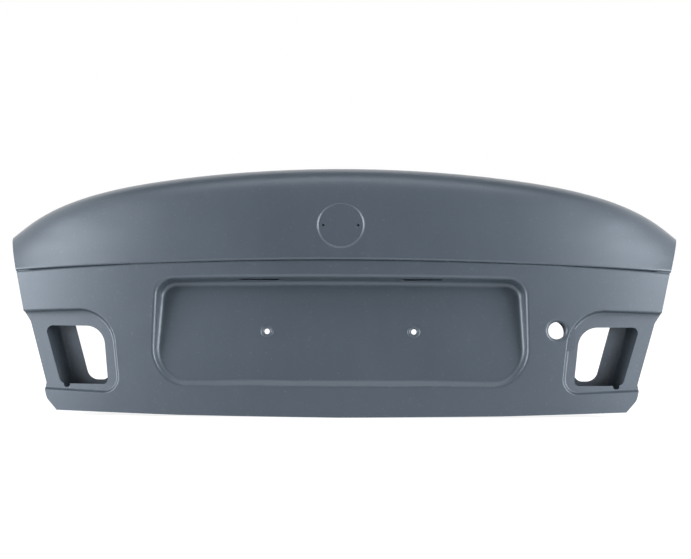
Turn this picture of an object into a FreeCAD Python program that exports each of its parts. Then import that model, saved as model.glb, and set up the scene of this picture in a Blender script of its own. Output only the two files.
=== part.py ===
import FreeCAD, Part
import math
import os
from FreeCAD import Vector as V

# Driving dimensions, in millimetres
SHEET = 1.0
INNER_SHEET = 0.9
HALF_WIDTH = 640.0
CREASE_Z = 291.0
CREASE_SAG = 26.0
CREST_Z = 462.0
UPPER_STEP = 6.0
LOWER_LEAN = 0.13
NOSE_RADIUS = 4.0
CREASE_FLANGE = 14.0
BADGE_FLOOR_RADIUS = 41.0
BADGE_DEPTH = 2.6
BADGE_Z = 356.0
BADGE_PIN_SPACING = 65.0
BADGE_PIN_RADIUS = 2.3
RECESS_HALF_WIDTH = 343.0
RECESS_BOTTOM_Z = 70.0
RECESS_TOP_Z = 251.0
RECESS_LOW_DEPTH = 7.0
RECESS_HIGH_DEPTH = 37.0
PLATE_HOLE_SPACING = 273.0
PLATE_HOLE_RADIUS = 5.0
PLATE_HOLE_Z = 157.0
PLATE_LAMP_X = 152.0
PLATE_LAMP_LENGTH = 76.0
PLATE_LAMP_WIDTH = 16.0
LOCK_X = 402.0
LOCK_Z = 160.0
LOCK_RADIUS = 16.0
LOCK_COLLAR = 14.0
WEB_Y = 54.0
DECK_BOX = 30.0
HINGE_SPACING_X = 1010.0
HINGE_SPACING_Y = 50.0
HINGE_HOLE_RADIUS = 4.5
HINGE_CENTRE_Y = 462.0
HINGE_PAD_Z = 344.0
LATCH_HOLE_RADIUS = 3.5
LATCH_SPACING = 64.0
LATCH_Z = 82.0
NUT_HEIGHT = 7.0

# Stations across the lid, left to right
STATIONS = [-660, -620, -560, -460, -320, -160, 0, 160, 320, 460, 560, 620, 660]

# Upper section: distance behind the nose, share of the rise from crease to crest
UPPER_SECTION = [(-6, -0.30), (0, 0), (11, 0.24), (21, 0.45), (31, 0.63), (41, 0.78), (54, 0.90),
                 (74, 0.975), (105, 1.0), (190, 1.0), (300, 0.99), (430, 0.97), (600, 0.94)]

# Lower section: height, outward bulge over the straight leaning line
LOWER_SECTION = [(-40, -4.5), (0, 0), (60, 3.0), (130, 5.0), (200, 5.0), (260, 3.0), (300, 0), (340, -5)]


def upper_plan(x):
    return x * x / 5400.0 + 22.0 * (x / 644.0) ** 4


def lower_plan(x):
    return x * x / 5600.0 + 14.0 * (x / 644.0) ** 4


def crease_height(x):
    return CREASE_Z - CREASE_SAG * (x / HALF_WIDTH) ** 2


def crest_height(x):
    return CREST_Z - x * x / 5128.0 - 57.0 * (x / 644.0) ** 8


def upper_points(x):
    rise = crest_height(x) - crease_height(x)
    points = []
    for back, share in UPPER_SECTION:
        fall = 0.05 * max(0.0, back - 105.0)
        points.append(V(x, upper_plan(x) + back, crease_height(x) + share * rise - fall))
    return points


def lower_points(x):
    points = []
    for z, bulge in LOWER_SECTION:
        y = UPPER_STEP + lower_plan(x) - LOWER_LEAN * (CREASE_Z - z) - bulge
        points.append(V(x, y, z))
    return points


# Section points moved inwards by the sheet thickness
def moved_in(points, inset):
    moved = []
    for i in range(len(points)):
        along = points[min(i + 1, len(points) - 1)] - points[max(i - 1, 0)]
        inward = V(0, along.z, -along.y)
        inward.normalize()
        moved.append(points[i] + inward * inset)
    return moved


def section_wire(points, far):
    curve = Part.BSplineCurve()
    curve.interpolate(points)
    first = points[0]
    last = points[-1]
    corners = [last] + far(first, last) + [first]
    edges = [curve.toShape()]
    for a, b in zip(corners[:-1], corners[1:]):
        edges.append(Part.makeLine(a, b))
    return Part.Wire(edges)


# Everything behind the upper face, down to the inset given
def behind_upper(inset):
    wires = []
    for station in STATIONS:
        x = station * (1 + 0.004 * inset / (inset + 1))
        points = moved_in(upper_points(x), inset)
        wires.append(section_wire(points, lambda p, q: [V(q.x, q.y, p.z - 60), V(p.x, p.y, p.z - 60)]))
    return Part.makeLoft(wires, True, False)


# Everything behind the lower face, down to the inset given
def behind_lower(inset):
    wires = []
    for station in STATIONS:
        x = station * (1 + 0.004 * inset / (inset + 1))
        points = moved_in(lower_points(x), inset)
        back = 200.0 + inset
        wires.append(section_wire(points, lambda p, q: [V(q.x, back, q.z), V(p.x, back, p.z)]))
    return Part.makeLoft(wires, True, False)


# Closed outline from corners (u, v, radius), anticlockwise, moved inwards by inset
def outline(corners, inset, place):
    count = len(corners)
    lines = []
    for i in range(count):
        u0, v0, r0 = corners[i]
        u1, v1, r1 = corners[(i + 1) % count]
        length = math.hypot(u1 - u0, v1 - v0)
        du = (u1 - u0) / length
        dv = (v1 - v0) / length
        lines.append((u0 - dv * inset, v0 + du * inset, du, dv))
    points = []
    for i in range(count):
        u0, v0, a0, b0 = lines[i - 1]
        u1, v1, a1, b1 = lines[i]
        cross = a0 * b1 - b0 * a1
        step = ((u1 - u0) * b1 - (v1 - v0) * a1) / cross
        points.append((u0 + a0 * step, v0 + b0 * step, cross))
    edges = []
    ends = []
    for i in range(count):
        u, v, cross = points[i]
        radius = corners[i][2]
        radius = radius - inset if cross > 0 else radius + inset
        if corners[i][2] == 0:
            radius = 0.0
        a0, b0 = lines[i - 1][2:]
        a1, b1 = lines[i][2:]
        turn = math.atan2(abs(cross), a0 * a1 + b0 * b1)
        cut = max(radius, 0.0) * math.tan(turn / 2)
        start = (u - a0 * cut, v - b0 * cut)
        end = (u + a1 * cut, v + b1 * cut)
        bow = radius * (1 / math.cos(turn / 2) - 1)
        size = math.hypot(a1 - a0, b1 - b0)
        middle = (u + (a1 - a0) / size * bow, v + (b1 - b0) / size * bow)
        ends.append((start, middle, end, cut > 0.01))
    for i in range(count):
        start, middle, end, curved = ends[i]
        if curved:
            edges.append(Part.Arc(place(*start), place(*middle), place(*end)).toShape())
        edges.append(Part.makeLine(place(*end), place(*ends[(i + 1) % count][0])))
    return Part.Wire(edges)


def upright(y):
    return lambda u, v: V(u, y, v)


def level(z):
    return lambda u, v: V(u, v, z)


# Block through the lid along Y from an outline in X and Z
def bar_along_y(corners, inset, start=-200.0, end=900.0):
    face = Part.Face(outline(corners, inset, upright(start)))
    return face.extrude(V(0, end - start, 0))


# Block through the lid along Z from an outline in X and Y
def bar_along_z(corners, inset, start=-200.0, end=700.0):
    face = Part.Face(outline(corners, inset, level(start)))
    return face.extrude(V(0, 0, end - start))


def both_sides(half):
    return half + [(-u, v, r) for u, v, r in reversed(half)]


# Solid above or below the crease curve
def crease_block(shift, up):
    sag = CREASE_SAG * (700.0 / HALF_WIDTH) ** 2
    left = V(-700, -200, CREASE_Z - sag + shift)
    right = V(700, -200, CREASE_Z - sag + shift)
    arc = Part.Arc(left, V(0, -200, CREASE_Z + shift), right).toShape()
    far = 700.0 if up else -100.0
    a = V(700, -200, far)
    b = V(-700, -200, far)
    wire = Part.Wire([arc, Part.makeLine(right, a), Part.makeLine(a, b), Part.makeLine(b, left)])
    return Part.Face(wire).extrude(V(0, 1100, 0))


# Rear view outline of each panel and the plan outline of the deck
def upper_sides():
    half = [(HALF_WIDTH - 38, 200, 0), (HALF_WIDTH, 342, 40), (HALF_WIDTH + 6, 372, 0), (HALF_WIDTH + 6, 640, 0)]
    return both_sides(half)


def deck_plan():
    half = [(HALF_WIDTH + 6, -150, 0), (HALF_WIDTH + 6, 84, 200), (HALF_WIDTH - 38, 538, 48)]
    return both_sides(half)[:3] + [(0, 508, 4000)] + both_sides(half)[3:]


def lower_sides():
    half = [(300, 2.5, 0), (532, 8, 0), (552, 30, 26), (556, 48, 5), (554, 58, 5), (588, 172, 6),
            (600, 190, 5), (616, 262, 0), (628, 330, 0)]
    return [(0, 0, 0)] + both_sides(half)


def upper_trim(inset):
    return bar_along_y(upper_sides(), inset).common(bar_along_z(deck_plan(), inset))


def lower_trim(inset):
    return bar_along_y(lower_sides(), inset)


# Edges whose ends and middle pass a test
def edges_where(shape, test):
    found = []
    for edge in shape.Edges:
        middle = edge.valueAt((edge.FirstParameter + edge.LastParameter) / 2)
        if test(edge, middle):
            found.append(edge)
    return found


def rounded(shape, radius, test):
    edges = edges_where(shape, test)
    return shape.makeFillet(radius, edges)


# Direction square to the upper face at the badge seat
def badge_axis():
    points = upper_points(0.0)
    curve = Part.BSplineCurve()
    curve.interpolate(points)
    section = curve.toShape()
    cut = Part.makeLine(V(0, -100, BADGE_Z), V(0, 200, BADGE_Z))
    spot = section.distToShape(cut)[1][0][0]
    tangent = curve.tangent(curve.parameter(spot))[0]
    return spot, V(0, tangent.z, -tangent.y).normalize()


def badge_tool(inset):
    spot, inward = badge_axis()
    floor = spot + inward * (BADGE_DEPTH + inset)
    radius = BADGE_FLOOR_RADIUS + 0.55 * inset
    flare = 1.8
    return Part.makeCone(radius, radius + 12 * flare, 12, floor, inward * -1)


def near_badge(edge, middle):
    spot, inward = badge_axis()
    offset = middle - spot
    radial = (offset - inward * offset.dot(inward)).Length
    return abs(radial - 45.0) < 9.0 and abs(offset.dot(inward)) < 9 and edge.Length > 100


# Upper outer panel, solid down to an inset
def upper_body(inset):
    body = behind_upper(inset).common(crease_block(inset, True))
    nose = NOSE_RADIUS - min(inset, 3.0)
    body = rounded(body, nose, lambda e, m: abs(m.x) < 60 and e.Length > 1000 and m.z < 330 and m.y < 30)
    body = body.cut(badge_tool(inset))
    return rounded(body, 3.0, near_badge)


# Plan arc through the lower face, at a height and distance behind it
def plan_arc(depth, z, width=700.0, share=1.0):
    y = lambda x: UPPER_STEP + share * lower_plan(x) - LOWER_LEAN * (CREASE_Z - z) + depth
    left = V(-width, y(width * 0.57) + (y(width) - y(width * 0.57)), z)
    return Part.Arc(left, V(0, y(0), z), V(width, left.y, z)).toShape()


# Solid in front of (or behind) a plan arc, swept upwards while leaning back
def arc_block(depth, z, lean, height, front, share=1.0, width=700.0):
    arc = plan_arc(depth, z, width, share)
    first = arc.Vertexes[0].Point
    last = arc.Vertexes[-1].Point
    y = -400.0 - abs(lean) * height if front else 500.0 + abs(lean) * height
    a = V(last.x, y, z)
    b = V(first.x, y, z)
    wire = Part.Wire([arc, Part.makeLine(last, a), Part.makeLine(a, b), Part.makeLine(b, first)])
    return Part.Face(wire).extrude(V(0, lean * height, height))


# Drafted block between two outlines, one in front of the other
def drafted_bar(front_corners, front_y, front_inset, back_corners, back_y, back_inset):
    front = outline(front_corners, front_inset, upright(front_y))
    back = outline(back_corners, back_inset, upright(back_y))
    return Part.makeLoft([front, back], True, True)


RECESS_LEAN = LOWER_LEAN + (RECESS_HIGH_DEPTH - RECESS_LOW_DEPTH) / (RECESS_TOP_Z - RECESS_BOTTOM_Z)


# Outline of the recess walls where they cross a given distance behind the nose
def recess_outline(y, low_radius):
    wide = RECESS_HALF_WIDTH - 0.2 * (y - 20.0)
    low = RECESS_BOTTOM_Z + (y + 16.0)
    high = RECESS_TOP_Z - 0.2 * (y - 37.0)
    half = [(170, low - 6, 1500), (wide, low - 23, low_radius), (wide, high, 30)]
    return [(0, low, 3000)] + both_sides(half)


# Number plate recess: deep under its top wall, running out at the bottom
def recess_tool(inset):
    front = recess_outline(-90.0, 84.0)
    back = recess_outline(60.0, 34.0)
    block = drafted_bar(front, -90.0, -inset, back, 60.0, -inset)
    foot = -60.0
    floor_depth = RECESS_LOW_DEPTH - (RECESS_BOTTOM_Z - foot) * (RECESS_LEAN - LOWER_LEAN)
    floor = arc_block(floor_depth + inset * 1.02, foot, RECESS_LEAN, 480.0, True, 0.8)
    tool = block.common(floor)
    return rounded(tool, 9.0 + inset, lambda e, m: m.y > -30 and abs(m.z - floor_height(m)) < 30)


# Height at which the recess floor stands at a given spot
def floor_height(spot):
    base = UPPER_STEP + 0.8 * lower_plan(spot.x) - LOWER_LEAN * (CREASE_Z - RECESS_BOTTOM_Z) + RECESS_LOW_DEPTH
    return RECESS_BOTTOM_Z + (spot.y - base) / RECESS_LEAN


def lamp_outline():
    return [(425, 54, 16), (760, 54, 0), (760, 190, 0), (437, 190, 62)]


def lamp_aperture():
    return [(434, 57, 9), (526, 57, 13), (560, 165, 11), (446, 165, 37)]


def mirrored(shape):
    return shape.mirror(V(0, 0, 0), V(1, 0, 0))


# Seat for the lamp, open at the side of the lid
def lamp_tool(inset):
    block = drafted_bar(lamp_outline(), -60.0, -inset - 24.0, lamp_outline(), 120.0, -inset + 8.0)
    z = -20.0
    right = lamp_floor_y(760, z) + inset
    left = lamp_floor_y(300, z) + inset
    points = [V(300, -300, z), V(760, -300, z), V(760, right, z), V(300, left, z)]
    floor = Part.Face(Part.makePolygon(points + points[:1])).extrude(V(0, 0.174 * 300, 300))
    return block.common(floor)


# Lower outer panel, solid down to an inset
def lower_body(inset):
    body = behind_lower(inset).cut(crease_block(-0.1 - inset, True))
    nose = NOSE_RADIUS - min(inset, 3.0)
    body = rounded(body, nose, lambda e, m: abs(m.x) < 60 and e.Length > 1000 and m.z > 250 and m.y < 30)
    lamp = lamp_tool(inset)
    lamp = rounded(lamp, 4.0 + inset, lamp_floor_edge)
    body = body.cut(lamp).cut(mirrored(lamp))
    lock = Part.makeCylinder(LOCK_RADIUS + inset, 400, V(LOCK_X, -200, LOCK_Z), V(0, 1, 0))
    return body.cut(recess_tool(inset)).cut(lock)


def lamp_floor_edge(edge, middle):
    return abs(middle.y - lamp_floor_y(middle.x, middle.z)) < 3 and middle.x < 650 and edge.Length > 20


# Flat floor of the lamp seat
def lamp_floor_y(x, z):
    return UPPER_STEP - LOWER_LEAN * CREASE_Z + 0.2235 * (x - 420) + 36.6 + 0.174 * z


# Region behind a plan arc, at any height
def behind_arc(distance, share=1.0):
    front = arc_block(distance - UPPER_STEP + LOWER_LEAN * CREASE_Z, 0.0, 0.0, 1.0, False, share)
    face = [f for f in front.Faces if f.CenterOfMass.z < 0.001][0]
    return face.copy().extrude(V(0, 0, 700))


def in_front_of_arc(distance, share=1.0):
    block = Part.makeBox(1400, 700, 600, V(-700, -250, -60))
    return block.cut(behind_arc(distance, share))


def one_solid(shape):
    solids = sorted(shape.Solids, key=lambda solid: -solid.Volume)
    return solids[0]


def upper_outer_panel():
    panel = upper_body(0.0).cut(upper_body(SHEET))
    panel = panel.cut(behind_arc(CREASE_FLANGE).cut(crease_block(5.0, True)))
    panel = panel.common(upper_trim(0.0))
    spot, inward = badge_axis()
    pins = []
    for side in (-0.5, 0.5):
        start = spot + V(side * BADGE_PIN_SPACING, 0, 0) - inward * 20
        pins.append(Part.makeCylinder(BADGE_PIN_RADIUS, 40, start, inward))
    return one_solid(panel.cut(pins))


def lower_outer_panel():
    panel = lower_body(0.0)
    panel = rounded(panel, 6.5, recess_mouth)
    panel = rounded(panel, 6.0, lock_mouth)
    panel = rounded(panel, 3.0, lamp_mouth)
    inside = lower_body(SHEET)
    inside = rounded(inside, 5.5, recess_mouth)
    inside = rounded(inside, 5.0, lock_mouth)
    inside = rounded(inside, 2.0, lamp_mouth)
    panel = panel.cut(inside)
    collar_end = Part.makeBox(60, 300, 60, V(LOCK_X - 30, lock_face_y() + LOCK_COLLAR, LOCK_Z - 30))
    panel = panel.cut(behind_arc(CREASE_FLANGE).common(crease_block(-6.0, True))).cut(collar_end)
    panel = panel.common(lower_trim(0.0))
    return one_solid(panel.cut(lower_holes()))


def lock_face_y():
    return UPPER_STEP + lower_plan(LOCK_X) - LOWER_LEAN * (CREASE_Z - LOCK_Z) - 5.0


def recess_mouth(edge, middle):
    on_face = abs(middle.y - face_y(middle)) < 1.6
    return on_face and abs(middle.x) < 360 and 40 < middle.z < 272 and edge.Length < 800


def lock_mouth(edge, middle):
    near = math.hypot(middle.x - LOCK_X, middle.z - LOCK_Z) < LOCK_RADIUS + 3
    return near and abs(middle.y - face_y(middle)) < 4 and edge.Length > 30


def lamp_mouth(edge, middle):
    on_face = abs(middle.y - face_y(middle)) < 1.8
    return on_face and 405 < abs(middle.x) < 600 and 40 < middle.z < 205 and not lock_mouth(edge, middle)


def face_y(spot):
    z = spot.z
    bulge = 5.0 - 5.0 * ((z - 165.0) / 165.0) ** 2
    return UPPER_STEP + lower_plan(spot.x) - LOWER_LEAN * (CREASE_Z - z) - bulge


# Lamp apertures, plate screw holes and plate lamp slots
def lower_holes():
    tools = []
    aperture = bar_along_y(lamp_aperture(), 0.0)
    aperture = aperture.fuse(Part.makeCylinder(6, 400, V(514, -200, 56), V(0, 1, 0)))
    tools += [aperture, mirrored(aperture)]
    for side in (-0.5, 0.5):
        centre = V(side * PLATE_HOLE_SPACING, -200, PLATE_HOLE_Z)
        tools.append(Part.makeCylinder(PLATE_HOLE_RADIUS, 400, centre, V(0, 1, 0)))
        tools.append(plate_lamp_slot(math.copysign(PLATE_LAMP_X, side)))
    return tools


def plate_lamp_slot(x):
    half = PLATE_LAMP_LENGTH / 2
    wide = PLATE_LAMP_WIDTH / 2
    y = 26.0
    right = [(x + half, y - wide, 6), (x + half, y + wide, 6)]
    left = [(x - half, y + wide, 6), (x - half, y - wide, 6)]
    return bar_along_z(right + left, 0.0, 235.0, 275.0)


# Half width of the lid's rear view at a height, and of its deck at a distance back
def half_width_at(z):
    steps = [(-40, 536), (8, 536), (30, 553), (48, 556), (172, 588), (190, 600), (262, 616), (300, 628)]
    for (z0, w0), (z1, w1) in zip(steps[:-1], steps[1:]):
        if z <= z1:
            return w0 + (w1 - w0) * (z - z0) / (z1 - z0)
    return steps[-1][1]


def face_point(x, z, gap):
    y = UPPER_STEP + lower_plan(x) - LOWER_LEAN * (CREASE_Z - z) - 5.0 + 5.0 * ((z - 165.0) / 165.0) ** 2
    if abs(x) > 410 and 40 < z < 205:
        y = max(y, lamp_floor_y(abs(x), z))
    return V(x, y + gap, z)


# One row of the inner panel's net: points that hug the skin, and points of the box behind it
def lower_row(z, deep):
    def at(x):
        hug = face_point(x, z, HUG)
        return hug, V(x, WEB_Y + 0.8 * lower_plan(x), z) if deep else hug
    return half_width_at(z), at


def upper_row(index):
    back, share = UPPER_SECTION[index]

    def at(x):
        points = upper_points(x)
        hug = moved_in(points, HUG)[index]
        box = moved_in(points, DECK_BOX)[index]
        web = WEB_Y + 0.8 * lower_plan(x)
        return hug, V(x, max(box.y, web), box.z if box.y > web else 0.5 * (box.z + points[index].z))
    return 617.0 + 23.0 * share, at


def deck_row(part, deep):
    def at(x):
        start = upper_plan(x) + 105.0
        y = start + part * (508.0 + 30.0 * (x / 600.0) ** 2 - start)
        section = Part.BSplineCurve()
        section.interpolate(upper_points(x))
        spot = section.value(section.parameter(V(x, y, crest_height(x) - 0.08 * (y - start))))
        return V(x, y, spot.z - HUG), V(x, y, spot.z - (DECK_BOX if deep else HUG))
    return 640.0 - 38.0 * part, at


# Distances from the lid's side edge, and how far the panel has gone from skin to box there
SIDE_STEPS = [(-18, 0), (0, 0), (11, 0), (20, 0), (26, 0), (46, 1), (52, 1), (64, 1), (92, 1)]
MIDDLE_STEPS = [0.8, 0.6, 0.4, 0.2]
HUG = 2.5


def inner_net():
    rows = [lower_row(z, False) for z in (-16, 2, 12, 20, 26)]
    rows += [lower_row(z, True) for z in (46, 54, 72, 100, 135, 170, 195, 215, 245, 272)]
    rows += [upper_row(i) for i in range(1, 9)]
    rows += [deck_row(part, True) for part in (0.1, 0.22, 0.36, 0.5, 0.64, 0.76, 0.84, 0.88)]
    rows += [deck_row(part, False) for part in (0.935, 0.955, 0.98, 1.01, 1.05)]
    net = []
    for width, at in rows:
        left = []
        for distance, share in SIDE_STEPS:
            hug, box = at(-(width - distance))
            left.append(hug + (box - hug) * share)
        inner = width - SIDE_STEPS[-1][0]
        middle = [at(side * inner)[1] for side in [-m for m in MIDDLE_STEPS] + [0.0] + MIDDLE_STEPS[::-1]]
        right = [V(-p.x, p.y, p.z) for p in left[::-1]]
        net.append(left + middle + right)
    return net


# Smooth face drawn by a net of control points
def net_face(net):
    surface = Part.BSplineSurface()
    knots_u = len(net) - 1
    knots_v = len(net[0]) - 1
    surface.buildFromPolesMultsKnots(net, [3] + [1] * (knots_u - 2) + [3], [3] + [1] * (knots_v - 2) + [3],
                                     list(range(knots_u)), list(range(knots_v)), False, False, 2, 2)
    return surface.toShape()


# Net moved towards the outer skin by a thickness
def net_moved(net, thickness):
    moved = []
    for i in range(len(net)):
        line = []
        for j in range(len(net[0])):
            along = net[min(i + 1, len(net) - 1)][j] - net[max(i - 1, 0)][j]
            across = net[i][min(j + 1, len(net[0]) - 1)] - net[i][max(j - 1, 0)]
            normal = across.cross(along)
            normal.normalize()
            line.append(net[i][j] + normal * thickness)
        moved.append(line)
    return moved


# Solid between a net and the same net moved
def net_sheet(net, near, far):
    a = net_face(net_moved(net, near))
    b = net_face(net_moved(net, far))
    sides = [Part.makeRuledSurface(p, q) for p, q in zip(a.OuterWire.OrderedEdges, b.OuterWire.OrderedEdges)]
    solid = Part.makeSolid(Part.makeShell([a, b] + sides))
    if solid.Volume < 0:
        solid.reverse()
    return solid


# Flat trays pressed in the inner panel for the hinges and the latch
def trays(inset):
    x = HINGE_SPACING_X / 2
    wide = 58 - 2 * inset
    long = 70 - 2 * inset
    right = Part.makeBox(wide, long, 24, V(x - wide / 2, HINGE_CENTRE_Y - long / 2, HINGE_PAD_Z + inset))
    corner = V(-52 + inset, WEB_Y - 9.0 - inset, LATCH_Z - 42 + inset)
    latch = Part.makeBox(104 - 2 * inset, 12, 84 - 2 * inset, corner)
    return [right, mirrored(right), latch]


def rear_openings(inset):
    lamp = [(438, 62, 16), (478, 62, 22), (507, 168, 18), (500, 198, 18), (438, 198, 18)]
    plate = [(66, 84, 26), (352, 84, 26), (352, 236, 26), (66, 236, 26)]
    upper = [(66, 288, 20), (430, 278, 20), (420, 336, 20), (66, 366, 20)]
    tools = []
    for corners in (lamp, plate, upper):
        tool = bar_along_y(corners, inset)
        tools += [tool, mirrored(tool)]
    lock = Part.makeCylinder(22 - inset, 1100, V(LOCK_X - 6, -200, LOCK_Z - 6), V(0, 1, 0))
    return tools + [lock]


def deck_openings(inset):
    inner = [(36, 165, 28), (246, 165, 28), (160, 436, 28), (36, 436, 28)]
    outer = [(300, 170, 28), (556, 186, 28), (540, 384, 28), (216, 432, 28)]
    tools = []
    for corners in (inner, outer):
        tool = bar_along_z(corners, inset)
        tools += [tool, mirrored(tool)]
    return tools


def inner_sides():
    half = [(300, 2.5, 0), (532, 8, 0), (552, 30, 26), (556, 48, 5), (554, 58, 5), (588, 172, 6),
            (600, 190, 5), (616, 262, 0), (640, 342, 40), (646, 372, 0), (646, 640, 0)]
    return [(0, 0, 0)] + both_sides(half)


def inner_panel():
    net = inner_net()
    panel = net_sheet(net, 0.0, INNER_SHEET)
    panel = panel.common(bar_along_y(inner_sides(), 1.1)).common(bar_along_z(deck_plan(), 1.1))
    above = net_sheet(net, 0.3, 40.0)
    pads = [outer.cut(inner).cut(above) for outer, inner in zip(trays(0.0), trays(INNER_SHEET))]
    panel = panel.cut(trays(0.4)).fuse(pads)
    tools = rear_openings(0.0) + deck_openings(0.0)
    tools += hinge_holes(HINGE_HOLE_RADIUS) + latch_holes(LATCH_HOLE_RADIUS) + [latch_slot()]
    notch = crease_block(-1.6, True).cut(crease_block(1.6, True))
    tools.append(notch.common(in_front_of_arc(CREASE_FLANGE + 1.0)))
    return one_solid(panel.cut(tools))


def hinge_spots():
    spots = []
    for side in (-0.5, 0.5):
        for end in (-0.5, 0.5):
            spots.append((side * HINGE_SPACING_X, HINGE_CENTRE_Y + end * HINGE_SPACING_Y))
    return spots


def hinge_holes(radius):
    return [Part.makeCylinder(radius, 30, V(x, y, HINGE_PAD_Z - 10)) for x, y in hinge_spots()]


def latch_spots():
    return [V(side * LATCH_SPACING, WEB_Y + 3.0, LATCH_Z) for side in (-0.5, 0.5)]


def latch_holes(radius):
    return [Part.makeCylinder(radius, 30, spot + V(0, 10, 0), V(0, -1, 0)) for spot in latch_spots()]


def latch_slot():
    corners = [(-14, LATCH_Z - 26, 8), (14, LATCH_Z - 26, 8), (14, LATCH_Z + 22, 8), (-14, LATCH_Z + 22, 8)]
    return bar_along_y(corners, 0.0, 30.0, 80.0)


def hinge_reinforcement_right():
    x = HINGE_SPACING_X / 2
    y = HINGE_CENTRE_Y
    corners = [(x - 26, y - 32, 7), (x + 26, y - 32, 7), (x + 26, y + 32, 7), (x - 26, y + 32, 7)]
    base = HINGE_PAD_Z + INNER_SHEET
    plate = bar_along_z(corners, 0.0, base, base + 2.0)
    for tool in hinge_holes(HINGE_HOLE_RADIUS):
        plate = plate.cut(tool)
    return one_solid(plate)


def latch_reinforcement():
    corners = [(-46, LATCH_Z - 36, 8), (46, LATCH_Z - 36, 8), (46, LATCH_Z + 36, 8), (-46, LATCH_Z + 36, 8)]
    back = WEB_Y + 3.0 - INNER_SHEET
    plate = bar_along_y(corners, 0.0, back - 2.0, back)
    for tool in latch_holes(LATCH_HOLE_RADIUS) + [latch_slot()]:
        plate = plate.cut(tool)
    return one_solid(plate)


def weld_nut(foot, axis, across, bore, height):
    reach = across / math.sqrt(3)
    turns = [math.radians(60 * i) for i in range(7)]
    points = [V(reach * math.cos(turn), reach * math.sin(turn), 0) for turn in turns]
    nut = Part.Face(Part.makePolygon(points)).extrude(V(0, 0, height))
    nut = nut.cut(Part.makeCylinder(bore, height))
    nut.Placement = FreeCAD.Placement(foot, FreeCAD.Rotation(V(0, 0, 1), axis))
    return nut


def hinge_weld_nuts():
    base = HINGE_PAD_Z + INNER_SHEET + 2.0
    return [weld_nut(V(x, y, base), V(0, 0, 1), 13.0, 3.6, NUT_HEIGHT) for x, y in hinge_spots()]


def latch_weld_nuts():
    back = WEB_Y + 3.0 - INNER_SHEET - 2.0
    return [weld_nut(V(spot.x, back, spot.z), V(0, -1, 0), 10.0, 2.7, 5.5) for spot in latch_spots()]


# Doubler behind the skin around the lock hole
def lock_reinforcement():
    corners = [(LOCK_X - 44, LOCK_Z - 38, 12), (LOCK_X + 34, LOCK_Z - 38, 12),
               (LOCK_X + 34, LOCK_Z + 38, 12), (LOCK_X - 44, LOCK_Z + 38, 12)]
    plate = behind_lower(SHEET + 0.2).cut(behind_lower(SHEET + 1.4)).common(bar_along_y(corners, 0.0))
    plate = plate.cut(Part.makeCylinder(LOCK_RADIUS + 10.5, 400, V(LOCK_X, -200, LOCK_Z), V(0, 1, 0)))
    return one_solid(plate)


def save(shapes, name):
    shape = Part.makeCompound(shapes) if isinstance(shapes, list) else shapes.copy()
    shape.translate(V(0, -HINGE_CENTRE_Y, -HINGE_PAD_Z))
    shape.exportStep("parts/" + name + ".step")


def main():
    os.makedirs("parts", exist_ok=True)
    save(upper_outer_panel(), "upper_outer_panel")
    save(lower_outer_panel(), "lower_outer_panel")
    save(inner_panel(), "inner_panel")
    right = hinge_reinforcement_right()
    save(right, "hinge_reinforcement_right")
    save(mirrored(right), "hinge_reinforcement_left")
    save(hinge_weld_nuts(), "hinge_weld_nuts")
    save(latch_reinforcement(), "latch_reinforcement")
    save(latch_weld_nuts(), "latch_weld_nuts")
    save(lock_reinforcement(), "lock_reinforcement")


if __name__ == "__main__":
    main()
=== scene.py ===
# %% [markdown]
# # A bare trunk lid in dip primer
# The lid is a saloon car's boot lid as it leaves the press shop's paint dip: outer skins, a ribbed
# inner frame, hinge pads and a latch plate, all under one satin blue-grey coat. The solids come from
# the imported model, so this script never moves them. It gives them their finish, adds the small
# pressed details, and sets up a soft studio and the camera.

import math

import bmesh
import bpy
from mathutils import Matrix, Vector


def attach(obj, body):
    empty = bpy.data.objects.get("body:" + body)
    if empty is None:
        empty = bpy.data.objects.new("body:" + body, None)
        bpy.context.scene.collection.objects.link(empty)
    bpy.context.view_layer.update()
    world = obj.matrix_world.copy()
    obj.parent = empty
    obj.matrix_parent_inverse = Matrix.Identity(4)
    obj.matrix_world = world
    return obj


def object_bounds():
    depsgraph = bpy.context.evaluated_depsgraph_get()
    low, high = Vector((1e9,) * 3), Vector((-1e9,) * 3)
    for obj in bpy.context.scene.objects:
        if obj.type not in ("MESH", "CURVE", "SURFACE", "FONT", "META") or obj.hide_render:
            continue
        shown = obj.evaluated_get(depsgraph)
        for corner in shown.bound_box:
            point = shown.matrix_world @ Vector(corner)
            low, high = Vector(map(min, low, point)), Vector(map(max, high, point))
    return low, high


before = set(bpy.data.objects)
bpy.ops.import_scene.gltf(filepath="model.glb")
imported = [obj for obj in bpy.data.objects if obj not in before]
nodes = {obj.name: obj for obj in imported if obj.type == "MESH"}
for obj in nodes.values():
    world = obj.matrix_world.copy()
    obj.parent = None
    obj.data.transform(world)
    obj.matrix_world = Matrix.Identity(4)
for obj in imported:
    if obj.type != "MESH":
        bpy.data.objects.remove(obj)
cad_low, cad_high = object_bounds()
print("lid size in metres:", [round(high - low, 3) for low, high in zip(cad_low, cad_high)])

# %% [markdown]
# A material is a graph of nodes. Sums on its values are easier to read as plain expressions, so a
# small class holds one socket and turns + - and * into Math nodes. Every other node comes from
# one method, which takes the node's type, its settings, and what goes into its sockets.

# %% Sockets as values


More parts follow.
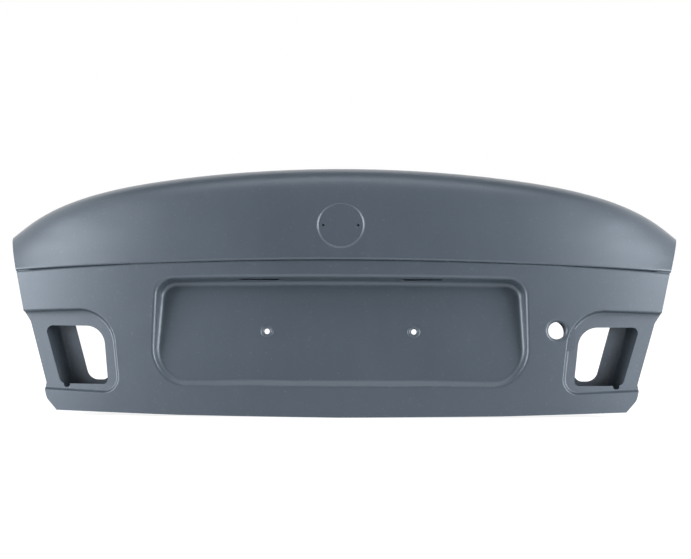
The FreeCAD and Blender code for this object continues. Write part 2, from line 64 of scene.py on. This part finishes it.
class Wire:
    def __init__(self, graph, socket):
        self.graph = graph
        self.socket = socket

    def sum_with(self, operation, other, swapped=False):
        pair = (other, self) if swapped else (self, other)
        return self.graph.node("ShaderNodeMath", {"operation": operation}, {0: pair[0], 1: pair[1]})

    def __add__(self, other):
        return self.sum_with("ADD", other)

    def __radd__(self, other):
        return self.sum_with("ADD", other, True)

    def __sub__(self, other):
        return self.sum_with("SUBTRACT", other)

    def __rsub__(self, other):
        return self.sum_with("SUBTRACT", other, True)

    def __mul__(self, other):
        return self.sum_with("MULTIPLY", other)

    def __rmul__(self, other):
        return self.sum_with("MULTIPLY", other, True)

    def above(self, start, end):
        inputs = {"Value": self, "From Min": start, "From Max": end}
        return self.graph.node("ShaderNodeMapRange", {"interpolation_type": "SMOOTHSTEP"}, inputs)


class Graph:
    def __init__(self, tree):
        self.tree = tree
        tree.nodes.clear()

    def node(self, kind, settings=None, inputs=None, output=0):
        made = self.tree.nodes.new(kind)
        for name, value in (settings or {}).items():
            setattr(made, name, value)
        for name, value in (inputs or {}).items():
            if isinstance(value, Wire):
                self.tree.links.new(value.socket, made.inputs[name])
            else:
                made.inputs[name].default_value = value
        return Wire(self, made.outputs[output]) if made.outputs else None

    def noise(self, place, scale, detail=2.0, stretch=(1, 1, 1)):
        moved = self.node("ShaderNodeMapping", {}, {"Vector": place, "Scale": stretch})
        inputs = {"Vector": moved, "Scale": scale, "Detail": detail, "Roughness": 0.55}
        return self.node("ShaderNodeTexNoise", {}, inputs)

    def blend(self, share, first, second):
        settings = {"data_type": "RGBA", "clamp_factor": True}
        return self.node("ShaderNodeMix", settings, {0: share, 6: first, 7: second}, 2)


def colour(red, green, blue):
    return (red, green, blue, 1.0)


# %% [markdown]
# ## The dip primer
# The coat is laid on by current in a bath, so it is even, satin and blue-grey, with a faint
# orange-peel skin. What keeps it from looking like plastic is small: slow patches of tone, thin
# vertical runs where the bath drained off, paler dust, and a sheen that changes a little with them.
# All of it is worked out from Object coordinates, which are metres on this lid.

# %% Primer finish


def primer(name, base, pale, roughness, grime):
    material = bpy.data.materials.new(name)
    material.use_nodes = True
    graph = Graph(material.node_tree)
    place = graph.node("ShaderNodeTexCoord", {}, {}, "Object")
    patches = graph.noise(place, 5.0, 3.0)
    drains = graph.noise(place, 26.0, 2.0, (1.0, 1.0, 0.06))
    dust = graph.noise(place, 210.0, 4.0).above(0.58, 0.8)
    grain = graph.noise(place, 1900.0, 1.0)
    peel = graph.noise(place, 420.0, 1.0)
    tone = (patches - 0.5) * 0.35 + (drains - 0.5) * 0.3 * grime + (grain - 0.5) * 0.16
    coat = graph.blend(tone + 0.5, colour(*[0.86 * c for c in base]), colour(*[1.14 * c for c in base]))
    dusty = graph.blend(dust * 0.22 * grime, coat, colour(*pale))
    sheen = roughness + (patches - 0.5) * 0.10 + dust * 0.12 + (grain - 0.5) * 0.05
    bump = {"Height": peel * 0.7 + grain * 0.3, "Strength": 0.12, "Distance": 0.0004}
    surface = {
        "Base Color": dusty,
        "Roughness": sheen,
        "Normal": graph.node("ShaderNodeBump", {}, bump),
        "Metallic": 0.35,
        "Coat Weight": 0.5,
        "Coat Roughness": 0.32,
        "IOR": 1.5,
    }
    shader = graph.node("ShaderNodeBsdfPrincipled", {}, surface)
    graph.node("ShaderNodeOutputMaterial", {}, {"Surface": shader})
    return material


PRIMER_BASE = (0.094, 0.120, 0.152)
PRIMER_PALE = (0.30, 0.33, 0.36)
outer_primer = primer("outer_primer", PRIMER_BASE, PRIMER_PALE, 0.40, 1.0)
# The inner frame and the nuts get darker copies of the one coat. That lower base colour is painted shade
# for parts that lie in the shadow of the skins, while their heavier drain runs and dust are real.
inner_primer_painted_shade = primer("inner_primer_painted_shade", [0.92 * c for c in PRIMER_BASE], PRIMER_PALE, 0.46, 1.6)
nut_primer_painted_shade = primer("nut_primer_painted_shade", [0.75 * c for c in PRIMER_BASE], PRIMER_PALE, 0.42, 2.2)


def dress(piece, material):
    piece.data.materials.clear()
    piece.data.materials.append(material)


for name, node in nodes.items():
    if "nuts" in name:
        dress(node, nut_primer_painted_shade)
    elif "outer" in name:
        dress(node, outer_primer)
    else:
        dress(node, inner_primer_painted_shade)
print("nodes dressed:", len(nodes))

# %% [markdown]
# ## Where a detail sits
# The details below lie on the pressed skin, which is curved. Instead of repeating the skin's sums,
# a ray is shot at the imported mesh, and the piece is stood on the spot and the slope that it hits.

# %% Finding the skin
BEHIND = Vector((0, 1, 0))


def hit(node_name, start, direction):
    found, spot, normal, _ = nodes[node_name].ray_cast(Vector(start), direction)
    if not found:
        return None
    if normal.dot(direction) > 0:
        normal = -normal
    return spot, normal


def standing_on(spot, normal):
    turn = normal.to_track_quat("Z", "X").to_matrix().to_4x4()
    return Matrix.Translation(spot) @ turn


def finished(name, shape, material):
    mesh = bpy.data.meshes.new(name)
    bmesh.ops.remove_doubles(shape, verts=shape.verts, dist=1e-6)
    bmesh.ops.recalc_face_normals(shape, faces=shape.faces)
    for face in shape.faces:
        face.smooth = True
    shape.to_mesh(mesh)
    shape.free()
    piece = bpy.data.objects.new(name, mesh)
    bpy.context.scene.collection.objects.link(piece)
    dress(piece, material)
    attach(piece, "root")
    return piece


# %% [markdown]
# ## Pressed rings round the plate screw holes
# Each screw hole of the number plate has a raised ring pressed round it, so that the plate sits off
# the skin. The ring's half section is a low arch. It is drawn as a few points and spun full circle
# round the hole's axis, which is the way a round pressing is most simply made.

# %% Spun rings
PLATE_HOLE_X = 0.1365
PLATE_HOLE_Z = -0.187
RING_SECTION = [
    (0.0062, -0.0004),
    (0.0070, 0.0006),
    (0.0084, 0.0014),
    (0.0100, 0.0015),
    (0.0116, 0.0010),
    (0.0130, -0.0004),
]
RING_STEPS = 40
RING_REACH = 0.010
RAY_START_Y = -0.7


def spun(section, steps):
    shape = bmesh.new()
    verts = [shape.verts.new((radius, 0, height)) for radius, height in section]
    edges = [shape.edges.new(pair) for pair in zip(verts, verts[1:])]
    edges.append(shape.edges.new((verts[-1], verts[0])))
    bmesh.ops.spin(
        shape,
        geom=verts + edges,
        cent=(0, 0, 0),
        axis=(0, 0, 1),
        angle=math.tau,
        steps=steps,
        use_merge=True,
    )
    return shape


def plate_ring(name, x):
    samples = []
    for dx, dz in ((RING_REACH, 0), (-RING_REACH, 0), (0, RING_REACH), (0, -RING_REACH)):
        samples.append(hit("lower_outer_panel", (x + dx, RAY_START_Y, PLATE_HOLE_Z + dz), BEHIND))
    spot = sum((sample[0] for sample in samples), Vector()) / len(samples)
    normal = sum((sample[1] for sample in samples), Vector()).normalized()
    shape = spun(RING_SECTION, RING_STEPS)
    bmesh.ops.transform(shape, matrix=standing_on(spot, normal), verts=shape.verts)
    return finished(name, shape, outer_primer)


for name, x in (("plate_ring_left", -PLATE_HOLE_X), ("plate_ring_right", PLATE_HOLE_X)):
    ring = plate_ring(name, x)
    print(name, "faces:", len(ring.data.polygons))

# %% [markdown]
# ## Studio
# The lid stands on a white floor. The world is white to the camera and to mirror-like rays, and
# dimmer for the soft light, so the coat keeps its own colour. A dark hood bends over the lid from
# behind the camera. Only reflections see it, so it keeps the middle of the lid dark, while the white
# sides and two tall soft boxes light the ends.

# %% Floor
FLOOR_SIZE = 30.0
FLOOR_GAP = 0.001
PAPER_SHARE = 0.45
PAPER_GLOW = 1.9
floor_shape = bmesh.new()
bmesh.ops.create_grid(floor_shape, x_segments=1, y_segments=1, size=FLOOR_SIZE)
bmesh.ops.translate(floor_shape, vec=(0, 0, cad_low.z - FLOOR_GAP), verts=floor_shape.verts)
floor_mesh = bpy.data.meshes.new("floor")
floor_shape.to_mesh(floor_mesh)
floor_shape.free()
floor = bpy.data.objects.new("floor", floor_mesh)
bpy.context.scene.collection.objects.link(floor)

floor_white = bpy.data.materials.new("floor_white")
floor_white.use_nodes = True
graph = Graph(floor_white.node_tree)
matt = graph.node("ShaderNodeBsdfDiffuse", {}, {"Color": colour(0.9, 0.9, 0.9)})
paper = graph.node("ShaderNodeEmission", {}, {"Color": colour(1, 1, 1), "Strength": PAPER_GLOW})
seen = graph.node("ShaderNodeLightPath", {}, {}, "Is Camera Ray")
mixed = graph.node("ShaderNodeMixShader", {}, {0: seen * PAPER_SHARE, 1: matt, 2: paper})
graph.node("ShaderNodeOutputMaterial", {}, {"Surface": mixed})
dress(floor, floor_white)

# %% World
SOFT_LIGHT = 0.45
world = bpy.data.worlds.new("studio")
world.use_nodes = True
bpy.context.scene.world = world
graph = Graph(world.node_tree)
WHITE_RAYS = ("Is Camera Ray", "Is Glossy Ray", "Is Transmission Ray")
white = [graph.node("ShaderNodeLightPath", {}, {}, kind) for kind in WHITE_RAYS]
strength = (white[0] + white[1] + white[2]).above(0.0, 1.0) * (1.0 - SOFT_LIGHT) + SOFT_LIGHT
sky = graph.node("ShaderNodeBackground", {}, {"Color": colour(1, 1, 1), "Strength": strength})
graph.node("ShaderNodeOutputWorld", {}, {"Surface": sky})

# %% Dark hood
HOOD_RADIUS = 5.0
HOOD_WIDTH = 6.0
HOOD_STEPS = 32
HOOD_FOOT = math.radians(-8)
HOOD_END = math.radians(125)
middle = (cad_low + cad_high) / 2
hood_shape = bmesh.new()
bmesh.ops.create_grid(hood_shape, x_segments=1, y_segments=HOOD_STEPS, size=0.5)
for vert in hood_shape.verts:
    angle = HOOD_FOOT + (vert.co.y + 0.5) * (HOOD_END - HOOD_FOOT)
    bent = Vector((vert.co.x * HOOD_WIDTH, -HOOD_RADIUS * math.cos(angle), HOOD_RADIUS * math.sin(angle)))
    vert.co = bent + middle
hood_mesh = bpy.data.meshes.new("dark_hood")
hood_shape.to_mesh(hood_mesh)
hood_shape.free()
hood = bpy.data.objects.new("dark_hood", hood_mesh)
bpy.context.scene.collection.objects.link(hood)
hood.visible_camera = False
hood.visible_shadow = False
hood.visible_diffuse = False
hood_black = bpy.data.materials.new("hood_black")
hood_black.use_nodes = True
graph = Graph(hood_black.node_tree)
matt = graph.node("ShaderNodeBsdfDiffuse", {}, {"Color": colour(0.03, 0.03, 0.03)})
graph.node("ShaderNodeOutputMaterial", {}, {"Surface": matt})
dress(hood, hood_black)


# %% Soft boxes
def soft_box(name, azimuth, height, distance, width, tall, power):
    lamp = bpy.data.lights.new(name, "AREA")
    lamp.shape = "RECTANGLE"
    lamp.size = width
    lamp.size_y = tall
    lamp.energy = power
    box = bpy.data.objects.new(name, lamp)
    bpy.context.scene.collection.objects.link(box)
    turn = math.radians(azimuth)
    aim = Vector((0, cad_low.y, middle.z))
    box.location = aim + Vector((distance * math.sin(turn), -distance * math.cos(turn), height))
    box.rotation_euler = (aim - box.location).to_track_quat("-Z", "Y").to_euler()
    return box


soft_box("left_box", -66, 0.5, 3.0, 1.6, 2.6, 80)
soft_box("right_box", 66, 0.5, 3.0, 1.6, 2.6, 85)
soft_box("top_box", 0, 3.2, 0.6, 3.0, 1.2, 20)

# %% [markdown]
# ## Camera
# The picture is taken almost square on, a little from the right and from far away, so the lens is
# long. The millimetres per pixel at the lid's rear face give the lens, once a distance is chosen.

# %% Camera
IMAGE_WIDTH = 691
SENSOR_WIDTH = 36.0
MM_PER_PIXEL = 1.854
CAMERA_DISTANCE = 4.5
CAMERA_AZIMUTH = 1.83
CAMERA_ELEVATION = 1.0
CAMERA_ROLL = 0.156
aim = Vector((0.0097, -0.462, -0.0897))
turn = math.radians(CAMERA_AZIMUTH)
rise = math.radians(CAMERA_ELEVATION)
back = Vector((math.sin(turn) * math.cos(rise), -math.cos(turn) * math.cos(rise), math.sin(rise)))
lens = bpy.data.cameras.new("camera")
lens.sensor_width = SENSOR_WIDTH
lens.lens = SENSOR_WIDTH * CAMERA_DISTANCE / (IMAGE_WIDTH * MM_PER_PIXEL / 1000)
lens.clip_end = 200.0
camera = bpy.data.objects.new("camera", lens)
bpy.context.scene.collection.objects.link(camera)
camera.location = aim + back * CAMERA_DISTANCE
facing = (-back).to_track_quat("-Z", "Y").to_matrix().to_4x4()
camera.rotation_euler = (facing @ Matrix.Rotation(math.radians(CAMERA_ROLL), 4, "Z")).to_euler()
bpy.context.scene.camera = camera
bpy.context.scene.view_settings.view_transform = "Standard"
print("lens in millimetres:", round(lens.lens, 1))
